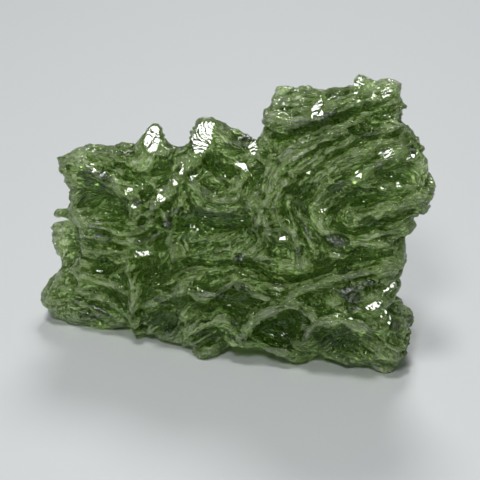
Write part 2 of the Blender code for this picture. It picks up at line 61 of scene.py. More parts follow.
# ---- the stone's flow lines -------------------------------------------------------------------
# Crests of the front face: (half width, height, points as x, z). face_map widens and raises them.
FRONT_CRESTS = [
    (0.55, 0.35, [(-12.8, 14.7), (-11.6, 14.8), (-10.5, 14.1), (-9.0, 13.8), (-6.9, 13.2),
                  (-6.2, 12.6), (-6.5, 11.6)]),
    (0.45, 0.25, [(-13.9, 15.2), (-11.7, 15.3), (-10.2, 15.6), (-8.0, 15.8), (-6.4, 16.5)]),
    (0.35, 0.20, [(-10.0, 14.7), (-9.0, 14.4), (-8.3, 14.1), (-7.7, 13.8)]),
    (0.35, 0.25, [(-8.4, 15.8), (-8.0, 15.4), (-7.2, 15.1), (-6.3, 15.7), (-5.8, 16.2)]),
    (0.50, 0.40, [(-1.5, 16.2), (-2.7, 15.4), (-3.0, 14.6), (-3.6, 13.8), (-4.4, 13.2), (-5.5, 11.6)]),
    (0.45, 0.40, [(-2.3, 14.9), (-1.7, 14.7), (-0.8, 14.2), (0.3, 13.9), (1.4, 14.1), (2.0, 14.7),
                  (2.2, 15.4)]),
    (0.30, 0.20, [(-1.1, 15.5), (-0.8, 14.7), (0.1, 14.3), (0.8, 14.7)]),
    (0.35, 0.30, [(0.2, 15.9), (1.1, 15.7), (2.0, 16.0), (2.9, 16.3)]),
    (0.45, 0.25, [(-0.9, 18.7), (0.2, 18.2), (1.2, 17.6), (2.7, 17.4), (3.5, 17.1)]),
    (0.40, 0.35, [(-1.7, 13.4), (-1.1, 12.7), (-0.1, 12.5), (1.3, 12.8), (3.0, 13.4)]),
    (0.40, 0.30, [(-4.6, 12.8), (-4.1, 12.0), (-3.6, 11.3), (-3.4, 10.5), (-3.8, 9.6), (-3.3, 8.8),
                  (-3.3, 7.4)]),
    (0.35, 0.25, [(-2.5, 14.1), (-2.7, 12.9), (-3.2, 11.8), (-3.5, 11.1)]),
    (0.45, 0.40, [(11.7, 21.2), (9.7, 20.5), (7.7, 19.2), (5.9, 17.7), (4.6, 15.7), (3.9, 13.6),
                  (4.1, 12.7), (5.0, 11.4)]),
    (0.40, 0.35, [(9.8, 21.6), (8.8, 20.5), (6.5, 18.9), (4.7, 17.4), (3.8, 15.1), (3.0, 13.4)]),
    (0.40, 0.35, [(8.4, 18.8), (6.4, 17.0), (5.5, 15.9), (4.8, 14.6), (4.7, 13.6), (5.6, 11.7)]),
    (0.40, 0.30, [(13.9, 20.5), (12.5, 20.5), (10.8, 19.9), (9.5, 19.2), (8.2, 18.1), (7.4, 17.1)]),
    (0.40, 0.30, [(14.1, 19.5), (12.6, 19.5), (10.8, 18.9), (9.3, 17.9), (8.1, 16.7), (7.2, 15.5)]),
    (0.40, 0.30, [(5.7, 14.6), (5.9, 13.3), (6.4, 12.4), (6.8, 11.3), (7.1, 10.2), (7.7, 8.7)]),
    (0.35, 0.25, [(6.3, 14.0), (6.9, 12.8), (7.6, 11.4), (8.3, 10.2), (8.8, 9.1)]),
    (0.35, 0.25, [(7.6, 13.4), (8.3, 12.5), (9.1, 11.6), (9.8, 10.7)]),
    (0.40, 0.30, [(3.9, 13.2), (3.4, 11.7), (3.8, 10.7), (3.0, 9.9), (1.9, 8.8), (0.9, 8.2)]),
    (0.50, 0.40, [(-1.5, 6.2), (-0.4, 6.0), (1.4, 6.9), (2.3, 7.1), (3.3, 7.0), (5.4, 6.5)]),
    (0.35, 0.25, [(-1.3, 5.5), (0.1, 5.2), (1.9, 5.9)]),
    (0.55, 0.40, [(-5.4, 4.2), (-4.2, 4.9), (-2.9, 5.8), (-1.0, 6.9)]),
    (0.30, 0.35, [(-4.1, 5.6), (-2.9, 6.5), (-1.9, 6.9), (-1.3, 7.4)]),
    (0.50, 0.40, [(-7.2, 7.3), (-6.7, 5.5), (-6.4, 4.5), (-6.6, 3.4), (-6.8, 0.8)]),
    (0.50, 0.45, [(2.8, 3.2), (3.3, 4.1), (4.7, 5.5), (5.6, 6.1), (6.6, 6.3), (8.1, 5.8), (8.7, 5.2)]),
    (0.40, 0.35, [(6.2, 6.8), (6.7, 7.2), (7.4, 7.6), (8.4, 8.1), (10.9, 8.0)]),
    (0.50, 0.45, [(7.5, 3.5), (8.0, 4.4), (8.7, 5.1), (9.6, 5.4), (10.7, 5.7), (12.7, 4.9)]),
    (0.40, 0.35, [(8.5, 8.2), (10.5, 8.9), (12.8, 9.6), (14.0, 9.8)]),
    (0.40, 0.35, [(9.4, 7.9), (10.9, 8.3), (12.3, 8.5), (14.1, 7.6)]),
    (0.40, 0.35, [(9.7, 7.3), (11.2, 7.6), (12.6, 7.3), (13.9, 6.9)]),
    (0.40, 0.30, [(9.9, 6.9), (10.9, 7.0), (12.1, 6.8), (13.8, 5.2)]),
    (0.40, 0.30, [(10.2, 6.3), (11.6, 6.4), (12.8, 6.0), (14.9, 4.1)]),
    (0.40, 0.35, [(2.5, 2.8), (3.3, 2.1), (4.3, 1.9), (6.5, 1.2)]),
    (0.35, 0.25, [(-4.9, 1.1), (-3.9, 1.7), (-3.1, 2.5), (-1.8, 4.1)]),
    (0.40, 0.35, [(-1.9, 2.4), (-0.6, 3.6), (0.7, 4.2), (1.9, 4.2), (2.8, 3.8)]),
    (0.40, 0.25, [(-11.7, 5.5), (-10.1, 5.4), (-8.7, 5.0), (-7.3, 4.4)]),
    (0.40, 0.25, [(-12.1, 3.9), (-10.4, 4.2), (-9.3, 3.6), (-7.0, 2.3)]),
    (0.40, 0.25, [(-12.5, 2.7), (-10.9, 3.0), (-9.7, 2.7), (-8.4, 2.1)]),
    (0.35, 0.20, [(-12.5, 1.6), (-11.0, 1.7), (-9.3, 1.9)]),
    (0.40, 0.30, [(-10.7, 10.1), (-9.2, 10.0), (-7.9, 9.7), (-6.2, 10.1), (-5.0, 11.0), (-4.6, 12.1)]),
    (0.40, 0.30, [(-10.3, 9.1), (-8.7, 9.1), (-7.1, 9.1), (-5.4, 9.6), (-4.0, 10.6)]),
    (0.40, 0.25, [(-11.7, 7.5), (-9.6, 7.9), (-7.9, 7.9), (-6.9, 8.2)]),
    (0.40, 0.25, [(-12.0, 6.0), (-10.5, 6.1), (-8.5, 7.0), (-7.1, 7.7)]),
    (0.45, 0.35, [(10.0, 16.3), (12.1, 17.5), (12.9, 18.2), (14.4, 18.8), (15.1, 18.5)]),
    (0.35, 0.20, [(8.8, 16.1), (10.0, 16.3), (11.3, 15.9), (14.0, 16.1)]),
    (0.40, 0.30, [(11.9, 13.4), (13.0, 14.3), (14.1, 14.6), (16.1, 15.5)]),
    (0.35, 0.25, [(10.1, 11.8), (11.6, 11.8), (13.0, 12.2), (14.1, 12.6)]),
    (0.35, 0.30, [(4.0, 19.4), (6.4, 20.2), (8.3, 20.9), (9.9, 21.6), (11.8, 22.0), (12.6, 22.2)]),
    (0.35, 0.20, [(3.5, 20.8), (4.7, 21.0), (5.8, 21.2), (7.1, 21.5), (8.2, 21.8)]),
    (0.35, 0.20, [(4.0, 20.4), (5.3, 20.5), (6.6, 20.8), (8.4, 21.6)]),
    (0.35, 0.20, [(8.9, 22.2), (10.2, 22.2), (11.5, 22.3), (12.6, 22.6)]),
    (0.35, 0.25, [(9.1, 11.1), (10.6, 11.4), (12.3, 11.3), (14.1, 11.5)]),
    (0.35, 0.25, [(9.4, 10.1), (10.9, 10.4), (12.6, 10.2), (14.4, 9.9)]),
]
# Narrow furrows of the front face, in the same terms.
FRONT_FURROWS = [
    (0.40, 0.50, [(1.6, 8.4), (2.7, 8.4), (4.6, 7.5), (5.6, 7.5), (7.8, 8.1), (9.6, 9.3), (10.7, 9.8),
                  (14.0, 10.6)]),
    (0.35, 0.35, [(-2.7, 7.5), (-1.3, 7.6), (0.3, 8.0), (1.6, 8.4)]),
    (0.50, 0.65, [(4.2, 18.8), (5.5, 19.0), (6.7, 19.6), (8.8, 20.6), (11.2, 21.4), (12.4, 21.9)]),
    (0.30, 0.40, [(9.3, 13.8), (9.2, 13.1), (9.7, 12.5), (10.5, 12.0), (11.4, 11.9)]),
    (0.35, 0.40, [(11.2, 13.0), (12.4, 13.0), (13.6, 13.2), (15.4, 14.0)]),
]
# The same for the back face.
BACK_CRESTS = [
    (0.50, 0.40, [(-12.4, 12.6), (-9.0, 12.0), (-5.8, 10.0), (-1.8, 9.2), (2.4, 10.2), (5.8, 12.8),
                  (7.6, 16.4), (9.8, 19.8)]),
    (0.45, 0.35, [(-11.2, 10.2), (-7.8, 9.2), (-4.4, 7.4), (0.2, 7.2), (4.4, 8.8), (7.8, 11.6),
                  (10.2, 15.4), (12.0, 19.0)]),
    (0.45, 0.35, [(-6.4, 15.4), (-3.8, 13.6), (-0.2, 12.6), (3.2, 13.6), (5.4, 16.6), (6.4, 20.2)]),
    (0.45, 0.35, [(-3.2, 4.8), (1.8, 4.6), (6.0, 6.2), (10.0, 9.2), (13.6, 12.2)]),
    (0.40, 0.30, [(3.4, 2.4), (7.6, 3.8), (11.2, 6.2), (13.6, 8.4)]),
    (0.45, 0.35, [(-13.2, 3.2), (-9.8, 4.6), (-6.6, 4.2), (-4.4, 2.0)]),
    (0.40, 0.30, [(-8.2, 7.0), (-6.4, 5.6), (-3.6, 5.8)]),
    (0.40, 0.25, [(10.8, 2.2), (12.6, 3.4), (14.4, 3.2)]),
    (0.40, 0.30, [(13.6, 18.6), (13.2, 16.2), (14.8, 14.4)]),
]
BACK_FURROWS = [
    (0.40, 0.45, [(-11.8, 11.4), (-8.2, 10.6), (-4.8, 8.6), (-0.4, 8.2), (3.6, 9.6), (6.8, 12.4),
                  (8.8, 16.0), (10.8, 19.4)]),
    (0.35, 0.40, [(-1.8, 3.4), (3.0, 3.4), (7.0, 5.0), (10.8, 7.8)]),
]
# Smooth washed places of the front face: (centre x, centre z, half width, half height).
CALM = [
    (-10.9, 11.9, 1.9, 1.9), (14.0, 15.0, 2.0, 0.8), (14.5, 16.5, 1.6, 1.4), (-4.5, 2.9, 1.1, 1.2),
    (-0.6, 11.3, 2.6, 1.0),
]
# Stretches of the front face painted paler, as painted highlight on lit ridges, and frosted (above 0),
# or painted darker, as painted shade in hollows and under the top overhang, and left clearer (below 0):
# (amount, half width, points as x, z).
LIGHT_AND_SHADE_TONES = [
    (0.25, 0.94, [(3.9, 21.1), (6.0, 20.6), (8.0, 21.1)]),
    (0.30, 0.70, [(8.9, 22.3), (12.1, 22.4)]),
    (0.20, 0.62, [(-12.4, 15.0), (-10.1, 15.4), (-6.6, 16.0)]),
    (0.30, 0.47, [(-3.2, 16.0), (-3.8, 14.3), (-3.9, 12.5), (-3.5, 10.1), (-3.3, 7.4)]),
    (0.35, 0.47, [(-2.7, 15.9), (-1.0, 14.4), (1.6, 14.0), (3.8, 14.0), (4.4, 12.3), (3.5, 10.3),
                  (1.6, 8.4), (-0.8, 7.5)]),
    (0.30, 0.62, [(5.5, 17.2), (4.6, 15.1), (4.8, 13.1), (6.0, 11.0), (6.8, 8.6)]),
    (0.35, 0.39, [(-0.8, 6.3), (1.9, 7.1), (4.3, 6.8), (7.8, 7.4), (10.9, 7.8), (13.4, 6.8)]),
    (0.25, 0.30, [(4.0, 3.9), (6.0, 6.1), (7.8, 6.2), (10.1, 7.1)]),
    (0.30, 0.55, [(12.3, 7.6), (13.9, 6.7), (13.5, 5.6)]),
    (0.30, 0.62, [(-15.4, 7.4), (-14.7, 5.0)]),
    (0.25, 0.30, [(4.3, 16.6), (6.5, 19.0), (9.2, 20.6), (12.8, 21.8)]),
    (0.20, 0.39, [(0.7, 8.8), (4.0, 9.5), (6.9, 9.5)]),
    (-0.50, 0.42, [(4.3, 19.8), (6.0, 19.7), (7.8, 20.2), (9.4, 21.0), (11.3, 21.8), (12.6, 22.3)]),
    (-0.25, 0.70, [(-3.0, 11.3), (-0.8, 11.7), (1.7, 11.7)]),
    (-0.40, 0.78, [(-6.4, 6.8), (-5.5, 5.3), (-2.2, 5.0)]),
    (-0.30, 0.62, [(-5.8, 2.7), (-2.8, 2.4)]),
    (-0.30, 0.70, [(2.4, 4.5), (4.8, 2.7)]),
    (-0.40, 0.55, [(5.7, 4.4), (6.3, 4.8)]),
    (-0.45, 0.62, [(8.8, 2.9), (10.4, 2.1)]),
    (-0.30, 0.31, [(-0.7, 7.1), (1.0, 7.7), (2.8, 7.9)]),
    (-0.35, 0.55, [(4.7, 14.6), (5.8, 15.1), (7.0, 14.5)]),
    (-0.30, 0.47, [(10.1, 13.1), (11.5, 12.7)]),
    (-0.25, 0.94, [(14.4, 17.4), (13.4, 16.6)]),
    (-0.35, 0.47, [(-4.3, 14.8), (-3.5, 14.9)]),
    (-0.25, 0.47, [(-14.4, 3.1), (-14.4, 2.1)]),
    (-0.20, 0.62, [(-10.3, 5.8), (-8.0, 7.0)]),
]
# Small fresh breaks, which mirror the front lamp: (centre x, y, z, half width, half height).
FACETS = [
    (-5.8, -0.2, 17.1, 0.75, 0.95), (-1.6, -1.2, 18.4, 0.90, 1.60), (-2.7, -2.3, 15.8, 0.35, 0.35),
    (-2.0, -2.2, 15.2, 0.40, 0.45), (-3.1, -2.5, 14.8, 0.35, 0.30), (-4.2, -2.7, 13.5, 0.50, 0.35),
    (-6.2, -2.4, 8.0, 0.70, 0.45), (1.8, -1.2, 16.0, 0.85, 0.30), (2.5, -0.7, 17.5, 0.45, 0.45),
    (7.3, -0.5, 20.9, 0.50, 0.70), (9.8, 1.5, 22.7, 0.60, 0.45), (12.1, 0.6, 22.4, 0.45, 0.30),
    (13.8, 0.5, 21.1, 0.35, 0.35), (12.8, -1.5, 18.7, 0.70, 0.45), (14.6, -0.9, 18.6, 0.60, 0.45),
    (7.0, -2.6, 16.8, 0.45, 0.30), (11.0, -2.1, 17.1, 0.35, 0.25), (12.6, -1.3, 15.7, 0.35, 0.25),
    (13.7, -1.0, 16.0, 0.35, 0.25), (8.4, -2.8, 13.8, 0.35, 0.30), (5.4, -2.5, 11.0, 0.45, 0.25),
    (13.6, -1.5, 7.6, 0.55, 0.35), (12.7, -2.8, 6.7, 0.70, 0.35), (13.5, -2.2, 5.8, 0.70, 0.30),
    (14.0, -1.8, 4.9, 1.00, 0.30), (-7.1, -2.1, 13.3, 0.35, 0.25), (-6.6, -2.6, 12.1, 0.35, 0.25),
    (-9.0, -1.9, 13.9, 0.35, 0.25), (-9.0, 0.1, 15.9, 0.40, 0.30),
]
EYE = np.array([28.0, -87.7, 55.8])             # the camera's place
FRONT_LAMP = np.array([14.6, -166.6, 194.8])    # the front lamp's place

# ---- how the stone is worked, in millimetres --------------------------------------------------
CELL = 0.07             # spacing of the relief maps
FIRST_GRAIN = 0.16      # voxel size while the main relief is raised
GRAIN = 0.11            # voxel size while the skin is cut
WELD = 1e-4             # points nearer to each other than this are one
TRIANGLES = 196000      # of the finished skin

# What the maps cover, across and up. The right end's chart lies beside the left end's on one map, and the
# underside's lies above the top's on another.
FACE_ACROSS, FACE_UP = (-18.0, 18.0), (-1.0, 24.5)
END_ACROSS = (-6.0, 12.0)
TOP_UP = (-6.0, 18.0)
RIGHT_END_SHIFT = 6
UNDERSIDE_SHIFT = 12
END_LINES = [(0.5, 0.2, [(-5, 3), (3, 6)]), (0.5, 0.2, [(0, 14), (9, 16)])]
TOP_LINES = [(0.5, 0.2, [(-16, -2), (16, 2)]), (0.5, 0.2, [(-16, 10), (16, 12)])]

# How widely a flow line turns the flow near it, and how fast that fades.
FLOW_SOFTNESS, FLOW_FADE = 0.12, 1.4
STRAND_STEP = 0.25
# Crests from random places: how many to a square millimetre, then the least and most of their length,
# half width and height.
ROPES = (0.20, (1.5, 6.0), (0.35, 0.70), (0.12, 0.28))
THREADS = (0.9, (1.0, 4.0), (0.14, 0.28), (0.06, 0.14))
CREST_WIDEN, FURROW_WIDEN, FURROW_DEEPEN = 1.3, 1.2, 1.5
PATH_TAPER, STRAND_TAPER = 0.7, 0.9
TALLEST = 0.7           # crests and ropes are levelled off here
# Bumps drawn out along the flow: width of a bump, how far it is drawn out, height.
WAVES = (0.50, 2.6, 0.09)
SCALES = (0.26, 0.9, 0.07)
MEAN_SIZE = 0.8         # of random bumps with a spread of one
CREST_FULL, FURROW_FULL = 0.6, 0.5      # a crest or furrow this big has its whole tone
ROPE_YIELD, YIELD_FULL = 0.7, 0.3       # how much ropes sink on a crest, and the crest's height for that
CALM_ROUGH = 0.25       # the share of the small relief that a calm place keeps
CALM_EDGE, CALM_FADE = 0.7, 0.4         # where it begins to come back and how fast, in the place's half sizes
TONE_GAIN, TONE_SPREAD = 1.8, 1.3
# Crests are painted paler, as painted highlight and frost, and furrows darker, as painted shade.
CREST_HIGHLIGHT_AND_FROST, FURROW_PAINTED_SHADE = 0.35, 0.40

RIM_FACING = 0.55       # skin that looks less to the front or back than this belongs to the rim
CUP_NARROW = (0.22, 0.55)   # least and most half width of a cup, as a share of its half length
CUP_DEPTHS = (0.7, 1.3)     # least and most of its plain depth
BROADSIDE_GAIN, RIM_SHARE = 1.4, 0.25   # the rim is sharpened less than the faces

BREAK_REACH, BREAK_FADE = 1.25, 0.25    # a break's edge and its soft margin, in its own half sizes
BREAK_THICK = 1.2       # how far in front of and behind its centre a break reaches
BREAK_LEVEL = 22        # the percentile of the skin's height at which it is planed
BREAK_FILL = 0.3        # the most that it fills a hollow up

# Rounds of evening out that take fine, middling and broad forms off the skin.
FINE_ROUNDS, MIDDLING_ROUNDS, BROAD_ROUNDS = 8, 60, 240
BREAK_ROUNDS = 14       # the same before the breaks are planed
# How tall a fine, middling or broad form counts as a full crest, and how much it counts.
FINE_TALL, MIDDLING_TALL, BROAD_TALL = 0.10, 0.30, 0.60
FINE_SHARE, MIDDLING_SHARE, BROAD_SHARE = 0.8, 0.6, 0.6
LINE_SHIFT = 3.7        # sets the patterns of neighbouring flow lines apart
BREAK_TONE = 0.45       # how pale a fresh break is, between 0 and 1


def along_path(x, z, path):
    """For each point: its distance to the path, how far along that is, and which way the path runs there."""
    near = np.full(x.shape, 1e9)
    run = np.zeros(x.shape)
    turn = np.zeros(x.shape)
    gone = 0.0
    for (x0, z0), (x1, z1) in zip(path[:-1], path[1:]):
        dx, dz = x1 - x0, z1 - z0
        length = math.hypot(dx, dz)
        share = np.clip(((x - x0) * dx + (z - z0) * dz) / length**2, 0, 1)
        away = np.hypot(x - x0 - share * dx, z - z0 - share * dz)
        closer = away < near
        near = np.where(closer, away, near)
        run = np.where(closer, gone + share * length, run)
        turn = np.where(closer, math.atan2(dz, dx), turn)
        gone += length
    return near, run, turn


def path_length(path):
    return sum(math.dist(p, q) for p, q in zip(path[:-1], path[1:]))


class Sheet:
    """A relief map over one face of the stone, with the way that the glass flows at each point."""

    def __init__(self, across, up, lines):
        self.low = np.array([across[0], up[0]])
        self.x, self.z = np.meshgrid(np.arange(*across, CELL), np.arange(*up, CELL))
        self.lines = lines
        # Kept as the cosine and sine of the doubled angle, because a line of flow has no front end.
        self.cos2 = np.full(self.x.shape, 0.02)
        self.sin2 = np.zeros(self.x.shape)
        for wide, high, path in lines:
            away, _, turn = along_path(self.x, self.z, path)
            pull = (wide + high) / (away**2 + FLOW_SOFTNESS) ** FLOW_FADE
            self.cos2 += pull * np.cos(2 * turn)
            self.sin2 += pull * np.sin(2 * turn)
        size = np.hypot(self.cos2, self.sin2) + 1e-9
        self.cos2 /= size
        self.sin2 /= size

    def pick(self, chart, x, z):
        """Reads a chart between its cells."""
        col = np.clip((x - self.low[0]) / CELL, 0, chart.shape[1] - 1.001)
        row = np.clip((z - self.low[1]) / CELL, 0, chart.shape[0] - 1.001)
        c, r = col.astype(int), row.astype(int)
        u, v = col - c, row - r
        top = chart[r + 1, c] * (1 - u) + chart[r + 1, c + 1] * u
        return (chart[r, c] * (1 - u) + chart[r, c + 1] * u) * (1 - v) + top * v

    def angle(self, x, z):
        return np.arctan2(self.pick(self.sin2, x, z), self.pick(self.cos2, x, z)) / 2

    def speckle(self, seed, grain):
        """Even random bumps about one grain wide."""
        chance = np.random.default_rng(seed)
        tall, wide = self.x.shape
        coarse = chance.standard_normal((int(tall * CELL / grain) + 3, int(wide * CELL / grain) + 3))
        row, col = np.arange(tall) * CELL / grain, np.arange(wide) * CELL / grain
        r, c = row.astype(int), col.astype(int)
        v, u = (row - r)[:, None], (col - c)[None, :]
        v, u = v * v * (3 - 2 * v), u * u * (3 - 2 * u)
        low = coarse[r][:, c] * (1 - u) + coarse[r][:, c + 1] * u
        high = coarse[r + 1][:, c] * (1 - u) + coarse[r + 1][:, c + 1] * u
        return low * (1 - v) + high * v

    def drawn_out(self, seed, grain, reach):
        """Random bumps smeared along the flow into streaks, with a spread of one."""
        noise = self.speckle(seed, grain)
        total = noise.copy()
        angle = np.arctan2(self.sin2, self.cos2) / 2
        stride = max(0.10, grain * 0.45)
        steps = max(3, int(reach / stride))
        for way in (1, -1):
            x, z = self.x.copy(), self.z.copy()
            hx, hz = way * np.cos(angle), way * np.sin(angle)
            for k in range(steps):
                x += stride * hx
                z += stride * hz
                turn = self.angle(x, z)
                nx, nz = np.cos(turn), np.sin(turn)
                same = np.where(nx * hx + nz * hz < 0, -1, 1)
                hx, hz = nx * same, nz * same
                total += self.pick(noise, x, z) * (1 - k / steps)
        total -= total.mean()
        return total / total.std()

    def raise_path(self, chart, path, wide, high, taper):
        """Raises one sharp crest, which sinks away towards both ends."""
        spots = np.array(path)
        (x0, z0), (x1, z1) = spots.min(0) - wide - self.low, spots.max(0) + wide - self.low
        cols = slice(max(int(x0 / CELL), 0), max(int(x1 / CELL) + 2, 0))
        rows = slice(max(int(z0 / CELL), 0), max(int(z1 / CELL) + 2, 0))
        away, run, _ = along_path(self.x[rows, cols], self.z[rows, cols], path)
        ends = np.clip(np.minimum(run, path_length(path) - run) / taper + 0.25, 0, 1)
        tent = high * ends * np.clip(1 - away / wide, 0, 1) ** 1.2
        chart[rows, cols] = np.maximum(chart[rows, cols], tent)

    def strands(self, seed, density, reach, wide, high):
        """Crests that follow the flow both ways from random places."""
        chance = np.random.default_rng(seed)
        chart = np.zeros(self.x.shape)
        tall, width = self.x.shape
        for _ in range(int(self.x.size * CELL**2 * density)):
            start = self.low + CELL * chance.random(2) * (width, tall)
            halves = []
            for way in (1, -1):
                x, z = start
                turn = float(self.angle(np.array(x), np.array(z)))
                hx, hz = way * math.cos(turn), way * math.sin(turn)
                points = []
                for _ in range(int(chance.uniform(*reach) / (2 * STRAND_STEP))):
                    x, z = x + STRAND_STEP * hx, z + STRAND_STEP * hz
                    turn = float(self.angle(np.array(x), np.array(z)))
                    nx, nz = math.cos(turn), math.sin(turn)
                    same = -1 if nx * hx + nz * hz < 0 else 1
                    hx, hz = nx * same, nz * same
                    points.append((x, z))
                halves.append(points)
            path = halves[1][::-1] + [tuple(start)] + halves[0]
            self.raise_path(chart, path, chance.uniform(*wide), chance.uniform(*high), STRAND_TAPER)
        return chart


def face_map(across, up, crests, furrows, seed, boldness, calm=(), painted_tones=()):
    """The charts of one face: coarse and fine relief, how rough it is, and how pale, with painted highlight
    on crests and painted shade in furrows and hollows.
    """
    sheet = Sheet(across, up, crests + furrows)
    sheet.tone = np.zeros(sheet.x.shape)
    for amount, wide, path in painted_tones:
        away, _, _ = along_path(sheet.x, sheet.z, path)
        sheet.tone += TONE_GAIN * amount * np.exp(-(away / wide) ** 2 / TONE_SPREAD)
    raised, cut = np.zeros(sheet.x.shape), np.zeros(sheet.x.shape)
    for wide, high, path in crests:
        sheet.raise_path(raised, path, CREST_WIDEN * wide, boldness * high, PATH_TAPER)
    for wide, high, path in furrows:
        sheet.raise_path(cut, path, FURROW_WIDEN * wide, FURROW_DEEPEN * high, PATH_TAPER)
    ropes = sheet.strands(seed, *ROPES)
    threads = sheet.strands(seed + 4, *THREADS)
    rough = np.ones(sheet.x.shape)
    for x, z, half_x, half_z in calm:
        off = np.hypot((sheet.x - x) / half_x, (sheet.z - z) / half_z)
        back = np.clip((off - CALM_EDGE) / CALM_FADE, 0, 1)
        rough = np.minimum(rough, CALM_ROUGH + (1 - CALM_ROUGH) * back)
    sheet.rough = rough
    *wave_form, wave_height = WAVES
    *scale_form, scale_height = SCALES
    waves = sheet.drawn_out(seed + 1, *wave_form)
    ropes *= rough * (1 - ROPE_YIELD * np.clip(raised / YIELD_FULL, 0, 1))
    sheet.coarse = np.minimum(np.maximum(raised, ropes), TALLEST) - cut
    sheet.coarse += wave_height * rough * (MEAN_SIZE - np.abs(waves))
    # Crests painted pale as painted highlight, furrows painted dark as painted shade.
    pale, dark = np.clip(raised / CREST_FULL, 0, 1), np.clip(cut / FURROW_FULL, 0, 1)
    sheet.tone += CREST_HIGHLIGHT_AND_FROST * pale - FURROW_PAINTED_SHADE * dark
    scales = sheet.drawn_out(seed + 2, *scale_form)
    sheet.fine = rough * (threads + scale_height * (np.abs(scales) - MEAN_SIZE))
    return sheet


def end_chart(x, y):
    """How far across the chart of the ends a point lies."""
    return y + RIGHT_END_SHIFT * (x > 0)


def top_chart(y, looks_up):
    """How far up the chart of the top and the underside a point lies."""
    return y + UNDERSIDE_SHIFT * (looks_up < 0)


def points_of(thing):
    mesh = thing.data
    where = np.empty(len(mesh.vertices) * 3)
    mesh.vertices.foreach_get("co", where)
    facing = np.empty(len(mesh.vertices) * 3)
    mesh.vertices.foreach_get("normal", facing)
    return where.reshape(-1, 3), facing.reshape(-1, 3)


def put_points(thing, where):
    thing.data.vertices.foreach_set("co", where.ravel())
    thing.data.update()


def neighbour_mean(thing, values, times):
    """Evens values out over the skin, by the mean of each point's neighbours."""
    mesh = thing.data
    ends = np.empty(len(mesh.edges) * 2, np.int64)
    mesh.edges.foreach_get("vertices", ends)
    ends = ends.reshape(-1, 2)
    count = np.bincount(ends.ravel(), minlength=len(values))
    values = values.copy()
    for _ in range(times):
        for axis in range(values.shape[1]):
            total = np.bincount(ends[:, 0], values[ends[:, 1], axis], len(values))
            total += np.bincount(ends[:, 1], values[ends[:, 0], axis], len(values))
            values[:, axis] = 0.5 * values[:, axis] + 0.5 * total / count
    return values


def remesh(thing, grain):
    bpy.context.view_layer.objects.active = thing
    change = thing.modifiers.new("Skin", "REMESH")
    change.mode = "VOXEL"
    change.voxel_size = grain
    bpy.ops.object.modifier_apply(modifier=change.name)


def thin_out(thing, triangles):
    """Merges the flatter triangles first, so the crests keep theirs."""
    thing.data.calc_loop_triangles()
    change = thing.modifiers.new("Thin", "DECIMATE")
    change.ratio = min(1.0, triangles / len(thing.data.loop_triangles))
    bpy.ops.object.modifier_apply(modifier=change.name)


def read_maps(maps, name, where, facing):
    """One chart of the four maps at each point of the skin, mixed by the way that the skin looks."""
    share = np.abs(facing) ** 3
    share /= share.sum(1, keepdims=True)
    x, y, z = where.T
    front = maps["front"].pick(getattr(maps["front"], name), x, z)
    back = maps["back"].pick(getattr(maps["back"], name), x, z)
    end = maps["end"].pick(getattr(maps["end"], name), end_chart(x, y), z)
    top = maps["top"].pick(getattr(maps["top"], name), x, top_chart(y, facing[:, 2]))
    face = np.where(facing[:, 1] < 0, front, back)
    return share[:, 1] * face + share[:, 0] * end + share[:, 2] * top


def even_facing(thing, facing):
    """The way the skin looks, evened out a little, so that points pushed along it don't cross."""
    facing = neighbour_mean(thing, facing, 3)
    return facing / (np.linalg.norm(facing, axis=1, keepdims=True) + 1e-9)


def raise_relief(thing, maps, name):
    """Moves the skin out by one chart of the maps."""
    where, facing = points_of(thing)
    facing = even_facing(thing, facing)
    put_points(thing, where + read_maps(maps, name, where, facing)[:, None] * facing)


def flow_way(maps, where, facing):
    """The way of flow at one point of the skin, as a direction along the skin."""
    x, y, z = where
    looks = int(np.abs(facing).argmax())
    if looks == 1:
        turn = maps["front" if facing[1] < 0 else "back"].angle(np.array(x), np.array(z))
        way = np.array([math.cos(turn), 0, math.sin(turn)])
    elif looks == 0:
        turn = maps["end"].angle(np.array(end_chart(x, y)), np.array(z))
        way = np.array([0, math.cos(turn), math.sin(turn)])
    else:
        turn = maps["top"].angle(np.array(x), np.array(top_chart(y, facing[2])))
        way = np.array([math.cos(turn), math.sin(turn), 0])
    way -= facing * (way @ facing)
    return way / (np.linalg.norm(way) + 1e-9)


def scoop(thing, maps, seed, count, sizes, depth, rim_only=False):
    """Sinks overlapping cups, drawn out along the flow.

    Only the deepest counts at each point, so sharp edges stand between them.
    """
    where, facing = points_of(thing)
    facing = even_facing(thing, facing)
    chance = np.random.default_rng(seed)
    order = np.argsort(where[:, 0])
    sorted_x = where[order, 0]
    choice = np.flatnonzero(np.abs(facing[:, 1]) < RIM_FACING) if rim_only else np.arange(len(where))
    rough = read_maps(maps, "rough", where, facing)
    best = np.zeros(len(where))
    for spot in choice[chance.integers(0, len(choice), count)]:
        centre, out = where[spot], facing[spot]
        half = sizes[0] * (sizes[1] / sizes[0]) ** chance.random()
        thin = half * chance.uniform(*CUP_NARROW)
        deep = depth * thin * chance.uniform(*CUP_DEPTHS)
        way = flow_way(maps, centre, out)
        side = np.cross(out, way)
        first, last = np.searchsorted(sorted_x, (centre[0] - half, centre[0] + half))
        near = order[first:last]
        near = near[np.abs(where[near] - centre).max(1) < half]
        step = where[near] - centre
        off = (step @ way / half) ** 2 + (step @ side / thin) ** 2 + (step @ out / half) ** 2
        hollow = deep * np.clip(1 - off, 0, 1) ** 0.8 * (facing[near] @ out > 0)
        best[near] = np.maximum(best[near], hollow)
    put_points(thing, where - (best * rough)[:, None] * facing)


def sharpen(thing, share):
    """Pulls crests further out and valleys further in, so that both come to an edge."""
    where, facing = points_of(thing)
    broadside = np.clip(BROADSIDE_GAIN * np.abs(neighbour_mean(thing, facing, 6)[:, 1]), RIM_SHARE, 1)
    put_points(thing, where + share * broadside[:, None] * (where - neighbour_mean(thing, where, 3)))


